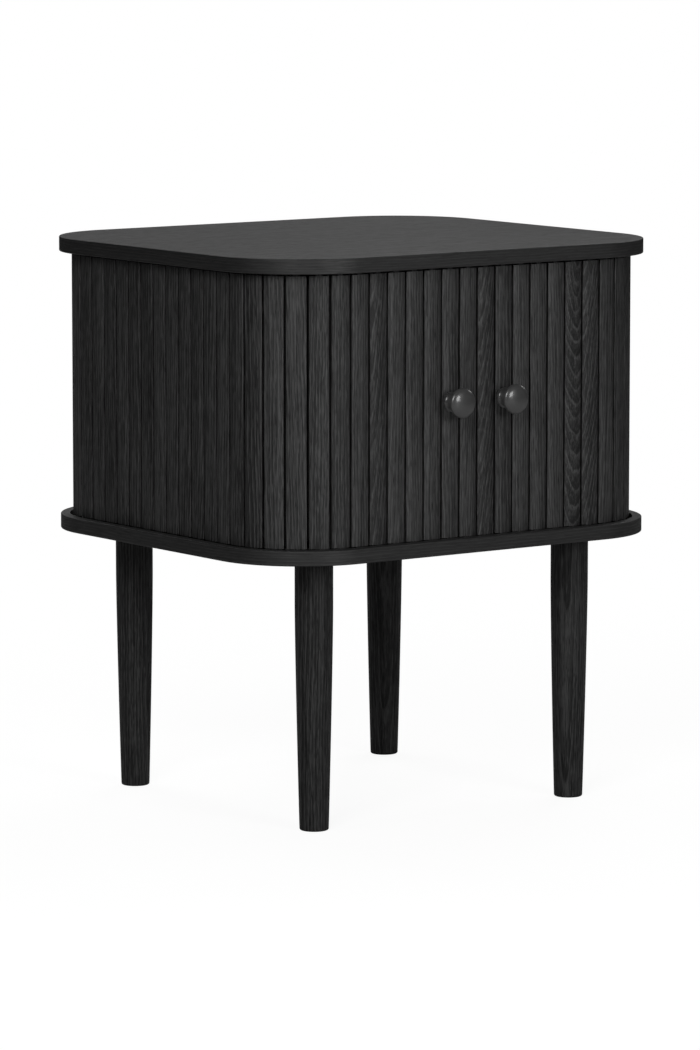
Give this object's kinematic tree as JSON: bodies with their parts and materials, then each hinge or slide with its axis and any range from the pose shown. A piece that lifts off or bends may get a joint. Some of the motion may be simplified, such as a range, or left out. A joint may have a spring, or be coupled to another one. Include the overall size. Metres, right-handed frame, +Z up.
{
  "type": "tambour bedside cabinet",
  "caption": "Bedside cabinet with rounded corners: upright slats form sliding tambour doors that run round the sides, on tapered turned legs",
  "frame": {"origin": "on the floor, under the middle of the overall box with its knobs", "axes": "+Z up, the front with the knobs faces -Y, +X to the right when the front is seen from -Y"},
  "size_m": [0.5, 0.4624, 0.57],
  "materials": {
    "oak_veneer": "satin",
    "oak_slats": "satin",
    "oak_legs": "satin",
    "lacquered_wood": "satin",
    "zinc_steel": "zinc plated"
  },
  "bodies": {
    "frame": {"top_board": "oak_veneer", "bottom_board": "oak_veneer", "liner": "oak_veneer", "rear_stop_strip": "oak_legs", "front_left_leg": "oak_legs", "front_left_leg_bolt": "zinc_steel", "front_right_leg": "oak_legs", "front_right_leg_bolt": "zinc_steel", "rear_left_leg": "oak_legs", "rear_left_leg_bolt": "zinc_steel", "rear_right_leg": "oak_legs", "rear_right_leg_bolt": "zinc_steel"},
    "left_front_slat_01": {"left_front_slat_01": "oak_slats"},
    "left_front_slat_02": {"left_front_slat_02": "oak_slats", "left_knob": "lacquered_wood"},
    "left_front_slat_03": {"left_front_slat_03": "oak_slats"},
    "left_front_slat_04": {"left_front_slat_04": "oak_slats"},
    "left_front_slat_05": {"left_front_slat_05": "oak_slats"},
    "left_front_slat_06": {"left_front_slat_06": "oak_slats"},
    "left_front_slat_07": {"left_front_slat_07": "oak_slats"},
    "left_front_slat_08": {"left_front_slat_08": "oak_slats"},
    "left_front_slat_09": {"left_front_slat_09": "oak_slats"},
    "left_front_slat_10": {"left_front_slat_10": "oak_slats"},
    "left_front_slat_11": {"left_front_slat_11": "oak_slats"},
    "left_front_slat_12": {"left_front_slat_12": "oak_slats"},
    "left_front_slat_13": {"left_front_slat_13": "oak_slats"},
    "left_side_slats": {"left_side_slats": "oak_slats"},
    "left_rear_slat_01": {"left_rear_slat_01": "oak_slats"},
    "left_rear_slat_02": {"left_rear_slat_02": "oak_slats"},
    "left_rear_slat_03": {"left_rear_slat_03": "oak_slats"},
    "left_rear_slat_04": {"left_rear_slat_04": "oak_slats"},
    "left_rear_slat_05": {"left_rear_slat_05": "oak_slats"},
    "left_rear_slat_06": {"left_rear_slat_06": "oak_slats"},
    "left_rear_slat_07": {"left_rear_slat_07": "oak_slats"},
    "left_rear_slat_08": {"left_rear_slat_08": "oak_slats"},
    "left_rear_slat_09": {"left_rear_slat_09": "oak_slats"},
    "right_front_slat_01": {"right_front_slat_01": "oak_slats"},
    "right_front_slat_02": {"right_front_slat_02": "oak_slats", "right_knob": "lacquered_wood"},
    "right_front_slat_03": {"right_front_slat_03": "oak_slats"},
    "right_front_slat_04": {"right_front_slat_04": "oak_slats"},
    "right_front_slat_05": {"right_front_slat_05": "oak_slats"},
    "right_front_slat_06": {"right_front_slat_06": "oak_slats"},
    "right_front_slat_07": {"right_front_slat_07": "oak_slats"},
    "right_front_slat_08": {"right_front_slat_08": "oak_slats"},
    "right_front_slat_09": {"right_front_slat_09": "oak_slats"},
    "right_front_slat_10": {"right_front_slat_10": "oak_slats"},
    "right_front_slat_11": {"right_front_slat_11": "oak_slats"},
    "right_front_slat_12": {"right_front_slat_12": "oak_slats"},
    "right_front_slat_13": {"right_front_slat_13": "oak_slats"},
    "right_side_slats": {"right_side_slats": "oak_slats"},
    "right_rear_slat_01": {"right_rear_slat_01": "oak_slats"},
    "right_rear_slat_02": {"right_rear_slat_02": "oak_slats"},
    "right_rear_slat_03": {"right_rear_slat_03": "oak_slats"},
    "right_rear_slat_04": {"right_rear_slat_04": "oak_slats"},
    "right_rear_slat_05": {"right_rear_slat_05": "oak_slats"},
    "right_rear_slat_06": {"right_rear_slat_06": "oak_slats"},
    "right_rear_slat_07": {"right_rear_slat_07": "oak_slats"},
    "right_rear_slat_08": {"right_rear_slat_08": "oak_slats"},
    "right_rear_slat_09": {"right_rear_slat_09": "oak_slats"}
  },
  "joints": [
    {"name": "left_door_slide", "type": "slide", "parent": "frame", "child": "left_front_slat_01", "axis": [-1, 0, 0], "range_m": [0, 0.132]},
    {"name": "left_front_slat_02_turn", "type": "hinge", "parent": "frame", "child": "left_front_slat_02", "pos_m": [-0.08802, 0.7609, 0.42075], "axis": [0, 0, -1], "range_deg": [0, 7.83]},
    {"name": "left_front_slat_03_turn", "type": "hinge", "parent": "frame", "child": "left_front_slat_03", "pos_m": [-0.1027, 0.11488, 0.42075], "axis": [0, 0, -1], "range_deg": [0, 23.49]},
    {"name": "left_front_slat_04_turn", "type": "hinge", "parent": "frame", "child": "left_front_slat_04", "pos_m": [-0.11444, -0.01494, 0.42075], "axis": [0, 0, -1], "range_deg": [0, 39.15]},
    {"name": "left_front_slat_05_turn", "type": "hinge", "parent": "frame", "child": "left_front_slat_05", "pos_m": [-0.12578, -0.07018, 0.42075], "axis": [0, 0, -1], "range_deg": [0, 54.8]},
    {"name": "left_front_slat_06_turn", "type": "hinge", "parent": "frame", "child": "left_front_slat_06", "pos_m": [-0.13697, -0.09986, 0.42075], "axis": [0, 0, -1], "range_deg": [0, 70.46]},
    {"name": "left_front_slat_07_turn", "type": "hinge", "parent": "frame", "child": "left_front_slat_07", "pos_m": [-0.14779, -0.11686, 0.42075], "axis": [0, 0, -1], "range_deg": [0, 85.62]},
    {"name": "left_front_slat_08_turn", "type": "hinge", "parent": "frame", "child": "left_front_slat_08", "pos_m": [-0.14488, -0.11414, 0.42075], "axis": [0, 0, -1], "range_deg": [0, 82.17]},
    {"name": "left_front_slat_09_turn", "type": "hinge", "parent": "frame", "child": "left_front_slat_09", "pos_m": [-0.12498, -0.103, 0.42075], "axis": [0, 0, -1], "range_deg": [0, 66.51]},
    {"name": "left_front_slat_10_turn", "type": "hinge", "parent": "frame", "child": "left_front_slat_10", "pos_m": [-0.09069, -0.09179, 0.42075], "axis": [0, 0, -1], "range_deg": [0, 50.85]},
    {"name": "left_front_slat_11_turn", "type": "hinge", "parent": "frame", "child": "left_front_slat_11", "pos_m": [-0.02424, -0.08039, 0.42075], "axis": [0, 0, -1], "range_deg": [0, 35.2]},
    {"name": "left_front_slat_12_turn", "type": "hinge", "parent": "frame", "child": "left_front_slat_12", "pos_m": [0.14926, -0.0684, 0.42075], "axis": [0, 0, -1], "range_deg": [0, 19.54]},
    {"name": "left_front_slat_13_turn", "type": "hinge", "parent": "frame", "child": "left_front_slat_13", "pos_m": [1.49269, -0.05131, 0.42075], "axis": [0, 0, -1], "range_deg": [0, 4.38]},
    {"name": "left_side_slats_slide", "type": "slide", "parent": "frame", "child": "left_side_slats", "axis": [0, 1, 0], "range_m": [0, 0.132]},
    {"name": "left_rear_slat_01_turn", "type": "hinge", "parent": "frame", "child": "left_rear_slat_01", "pos_m": [3.27034, 0.05871, 0.42075], "axis": [0, 0, -1], "range_deg": [0, 2.16]},
    {"name": "left_rear_slat_02_turn", "type": "hinge", "parent": "frame", "child": "left_rear_slat_02", "pos_m": [0.23377, 0.07776, 0.42075], "axis": [0, 0, -1], "range_deg": [0, 16.05]},
    {"name": "left_rear_slat_03_turn", "type": "hinge", "parent": "frame", "child": "left_rear_slat_03", "pos_m": [-0.00042, 0.0901, 0.42075], "axis": [0, 0, -1], "range_deg": [0, 31.71]},
    {"name": "left_rear_slat_04_turn", "type": "hinge", "parent": "frame", "child": "left_rear_slat_04", "pos_m": [-0.07977, 0.10157, 0.42075], "axis": [0, 0, -1], "range_deg": [0, 47.37]},
    {"name": "left_rear_slat_05_turn", "type": "hinge", "parent": "frame", "child": "left_rear_slat_05", "pos_m": [-0.11894, 0.11281, 0.42075], "axis": [0, 0, -1], "range_deg": [0, 63.03]},
    {"name": "left_rear_slat_06_turn", "type": "hinge", "parent": "frame", "child": "left_rear_slat_06", "pos_m": [-0.14129, 0.12397, 0.42075], "axis": [0, 0, -1], "range_deg": [0, 78.68]},
    {"name": "left_rear_slat_07_turn", "type": "hinge", "parent": "frame", "child": "left_rear_slat_07", "pos_m": [-0.14923, 0.13058, 0.42075], "axis": [0, 0, -1], "range_deg": [0, 87.45]},
    {"name": "left_rear_slat_08_turn", "type": "hinge", "parent": "frame", "child": "left_rear_slat_08", "pos_m": [-0.13945, 0.11686, 0.42075], "axis": [0, 0, -1], "range_deg": [0, 73.95]},
    {"name": "left_rear_slat_09_turn", "type": "hinge", "parent": "frame", "child": "left_rear_slat_09", "pos_m": [-0.12828, 0.0906, 0.42075], "axis": [0, 0, -1], "range_deg": [0, 58.29]},
    {"name": "right_door_slide", "type": "slide", "parent": "frame", "child": "right_front_slat_01", "axis": [1, 0, 0], "range_m": [0, 0.132]},
    {"name": "right_front_slat_02_turn", "type": "hinge", "parent": "frame", "child": "right_front_slat_02", "pos_m": [0.08802, 0.7609, 0.42075], "axis": [0, 0, 1], "range_deg": [0, 7.83]},
    {"name": "right_front_slat_03_turn", "type": "hinge", "parent": "frame", "child": "right_front_slat_03", "pos_m": [0.1027, 0.11488, 0.42075], "axis": [0, 0, 1], "range_deg": [0, 23.49]},
    {"name": "right_front_slat_04_turn", "type": "hinge", "parent": "frame", "child": "right_front_slat_04", "pos_m": [0.11444, -0.01494, 0.42075], "axis": [0, 0, 1], "range_deg": [0, 39.15]},
    {"name": "right_front_slat_05_turn", "type": "hinge", "parent": "frame", "child": "right_front_slat_05", "pos_m": [0.12578, -0.07018, 0.42075], "axis": [0, 0, 1], "range_deg": [0, 54.8]},
    {"name": "right_front_slat_06_turn", "type": "hinge", "parent": "frame", "child": "right_front_slat_06", "pos_m": [0.13697, -0.09986, 0.42075], "axis": [0, 0, 1], "range_deg": [0, 70.46]},
    {"name": "right_front_slat_07_turn", "type": "hinge", "parent": "frame", "child": "right_front_slat_07", "pos_m": [0.14779, -0.11686, 0.42075], "axis": [0, 0, 1], "range_deg": [0, 85.62]},
    {"name": "right_front_slat_08_turn", "type": "hinge", "parent": "frame", "child": "right_front_slat_08", "pos_m": [0.14488, -0.11414, 0.42075], "axis": [0, 0, 1], "range_deg": [0, 82.17]},
    {"name": "right_front_slat_09_turn", "type": "hinge", "parent": "frame", "child": "right_front_slat_09", "pos_m": [0.12498, -0.103, 0.42075], "axis": [0, 0, 1], "range_deg": [0, 66.51]},
    {"name": "right_front_slat_10_turn", "type": "hinge", "parent": "frame", "child": "right_front_slat_10", "pos_m": [0.09069, -0.09179, 0.42075], "axis": [0, 0, 1], "range_deg": [0, 50.85]},
    {"name": "right_front_slat_11_turn", "type": "hinge", "parent": "frame", "child": "right_front_slat_11", "pos_m": [0.02424, -0.08039, 0.42075], "axis": [0, 0, 1], "range_deg": [0, 35.2]},
    {"name": "right_front_slat_12_turn", "type": "hinge", "parent": "frame", "child": "right_front_slat_12", "pos_m": [-0.14926, -0.0684, 0.42075], "axis": [0, 0, 1], "range_deg": [0, 19.54]},
    {"name": "right_front_slat_13_turn", "type": "hinge", "parent": "frame", "child": "right_front_slat_13", "pos_m": [-1.49269, -0.05131, 0.42075], "axis": [0, 0, 1], "range_deg": [0, 4.38]},
    {"name": "right_side_slats_slide", "type": "slide", "parent": "frame", "child": "right_side_slats", "axis": [0, 1, 0], "range_m": [0, 0.132]},
    {"name": "right_rear_slat_01_turn", "type": "hinge", "parent": "frame", "child": "right_rear_slat_01", "pos_m": [-3.27034, 0.05871, 0.42075], "axis": [0, 0, 1], "range_deg": [0, 2.16]},
    {"name": "right_rear_slat_02_turn", "type": "hinge", "parent": "frame", "child": "right_rear_slat_02", "pos_m": [-0.23377, 0.07776, 0.42075], "axis": [0, 0, 1], "range_deg": [0, 16.05]},
    {"name": "right_rear_slat_03_turn", "type": "hinge", "parent": "frame", "child": "right_rear_slat_03", "pos_m": [0.00042, 0.0901, 0.42075], "axis": [0, 0, 1], "range_deg": [0, 31.71]},
    {"name": "right_rear_slat_04_turn", "type": "hinge", "parent": "frame", "child": "right_rear_slat_04", "pos_m": [0.07977, 0.10157, 0.42075], "axis": [0, 0, 1], "range_deg": [0, 47.37]},
    {"name": "right_rear_slat_05_turn", "type": "hinge", "parent": "frame", "child": "right_rear_slat_05", "pos_m": [0.11894, 0.11281, 0.42075], "axis": [0, 0, 1], "range_deg": [0, 63.03]},
    {"name": "right_rear_slat_06_turn", "type": "hinge", "parent": "frame", "child": "right_rear_slat_06", "pos_m": [0.14129, 0.12397, 0.42075], "axis": [0, 0, 1], "range_deg": [0, 78.68]},
    {"name": "right_rear_slat_07_turn", "type": "hinge", "parent": "frame", "child": "right_rear_slat_07", "pos_m": [0.14923, 0.13058, 0.42075], "axis": [0, 0, 1], "range_deg": [0, 87.45]},
    {"name": "right_rear_slat_08_turn", "type": "hinge", "parent": "frame", "child": "right_rear_slat_08", "pos_m": [0.13945, 0.11686, 0.42075], "axis": [0, 0, 1], "range_deg": [0, 73.95]},
    {"name": "right_rear_slat_09_turn", "type": "hinge", "parent": "frame", "child": "right_rear_slat_09", "pos_m": [0.12828, 0.0906, 0.42075], "axis": [0, 0, 1], "range_deg": [0, 58.29]}
  ],
  "couplings": [
    {"joint": "left_front_slat_02_turn", "follows": "left_door_slide", "rad_per_m": 1.0352},
    {"joint": "left_front_slat_03_turn", "follows": "left_door_slide", "rad_per_m": 3.1056},
    {"joint": "left_front_slat_04_turn", "follows": "left_door_slide", "rad_per_m": 5.176},
    {"joint": "left_front_slat_05_turn", "follows": "left_door_slide", "rad_per_m": 7.2464},
    {"joint": "left_front_slat_06_turn", "follows": "left_door_slide", "rad_per_m": 9.3168},
    {"joint": "left_front_slat_07_turn", "follows": "left_door_slide", "rad_per_m": 11.321},
    {"joint": "left_front_slat_08_turn", "follows": "left_door_slide", "rad_per_m": 10.865},
    {"joint": "left_front_slat_09_turn", "follows": "left_door_slide", "rad_per_m": 8.7944},
    {"joint": "left_front_slat_10_turn", "follows": "left_door_slide", "rad_per_m": 6.724},
    {"joint": "left_front_slat_11_turn", "follows": "left_door_slide", "rad_per_m": 4.6536},
    {"joint": "left_front_slat_12_turn", "follows": "left_door_slide", "rad_per_m": 2.5832},
    {"joint": "left_front_slat_13_turn", "follows": "left_door_slide", "rad_per_m": 0.57858},
    {"joint": "left_side_slats_slide", "follows": "left_door_slide", "ratio": 1},
    {"joint": "left_rear_slat_01_turn", "follows": "left_door_slide", "rad_per_m": 0.28526},
    {"joint": "left_rear_slat_02_turn", "follows": "left_door_slide", "rad_per_m": 2.1222},
    {"joint": "left_rear_slat_03_turn", "follows": "left_door_slide", "rad_per_m": 4.1926},
    {"joint": "left_rear_slat_04_turn", "follows": "left_door_slide", "rad_per_m": 6.263},
    {"joint": "left_rear_slat_05_turn", "follows": "left_door_slide", "rad_per_m": 8.3334},
    {"joint": "left_rear_slat_06_turn", "follows": "left_door_slide", "rad_per_m": 10.404},
    {"joint": "left_rear_slat_07_turn", "follows": "left_door_slide", "rad_per_m": 11.563},
    {"joint": "left_rear_slat_08_turn", "follows": "left_door_slide", "rad_per_m": 9.7777},
    {"joint": "left_rear_slat_09_turn", "follows": "left_door_slide", "rad_per_m": 7.7073},
    {"joint": "right_front_slat_02_turn", "follows": "right_door_slide", "rad_per_m": 1.0352},
    {"joint": "right_front_slat_03_turn", "follows": "right_door_slide", "rad_per_m": 3.1056},
    {"joint": "right_front_slat_04_turn", "follows": "right_door_slide", "rad_per_m": 5.176},
    {"joint": "right_front_slat_05_turn", "follows": "right_door_slide", "rad_per_m": 7.2464},
    {"joint": "right_front_slat_06_turn", "follows": "right_door_slide", "rad_per_m": 9.3168},
    {"joint": "right_front_slat_07_turn", "follows": "right_door_slide", "rad_per_m": 11.321},
    {"joint": "right_front_slat_08_turn", "follows": "right_door_slide", "rad_per_m": 10.865},
    {"joint": "right_front_slat_09_turn", "follows": "right_door_slide", "rad_per_m": 8.7944},
    {"joint": "right_front_slat_10_turn", "follows": "right_door_slide", "rad_per_m": 6.724},
    {"joint": "right_front_slat_11_turn", "follows": "right_door_slide", "rad_per_m": 4.6536},
    {"joint": "right_front_slat_12_turn", "follows": "right_door_slide", "rad_per_m": 2.5832},
    {"joint": "right_front_slat_13_turn", "follows": "right_door_slide", "rad_per_m": 0.57858},
    {"joint": "right_side_slats_slide", "follows": "right_door_slide", "ratio": 1},
    {"joint": "right_rear_slat_01_turn", "follows": "right_door_slide", "rad_per_m": 0.28526},
    {"joint": "right_rear_slat_02_turn", "follows": "right_door_slide", "rad_per_m": 2.1222},
    {"joint": "right_rear_slat_03_turn", "follows": "right_door_slide", "rad_per_m": 4.1926},
    {"joint": "right_rear_slat_04_turn", "follows": "right_door_slide", "rad_per_m": 6.263},
    {"joint": "right_rear_slat_05_turn", "follows": "right_door_slide", "rad_per_m": 8.3334},
    {"joint": "right_rear_slat_06_turn", "follows": "right_door_slide", "rad_per_m": 10.404},
    {"joint": "right_rear_slat_07_turn", "follows": "right_door_slide", "rad_per_m": 11.563},
    {"joint": "right_rear_slat_08_turn", "follows": "right_door_slide", "rad_per_m": 9.7777},
    {"joint": "right_rear_slat_09_turn", "follows": "right_door_slide", "rad_per_m": 7.7073}
  ]
}
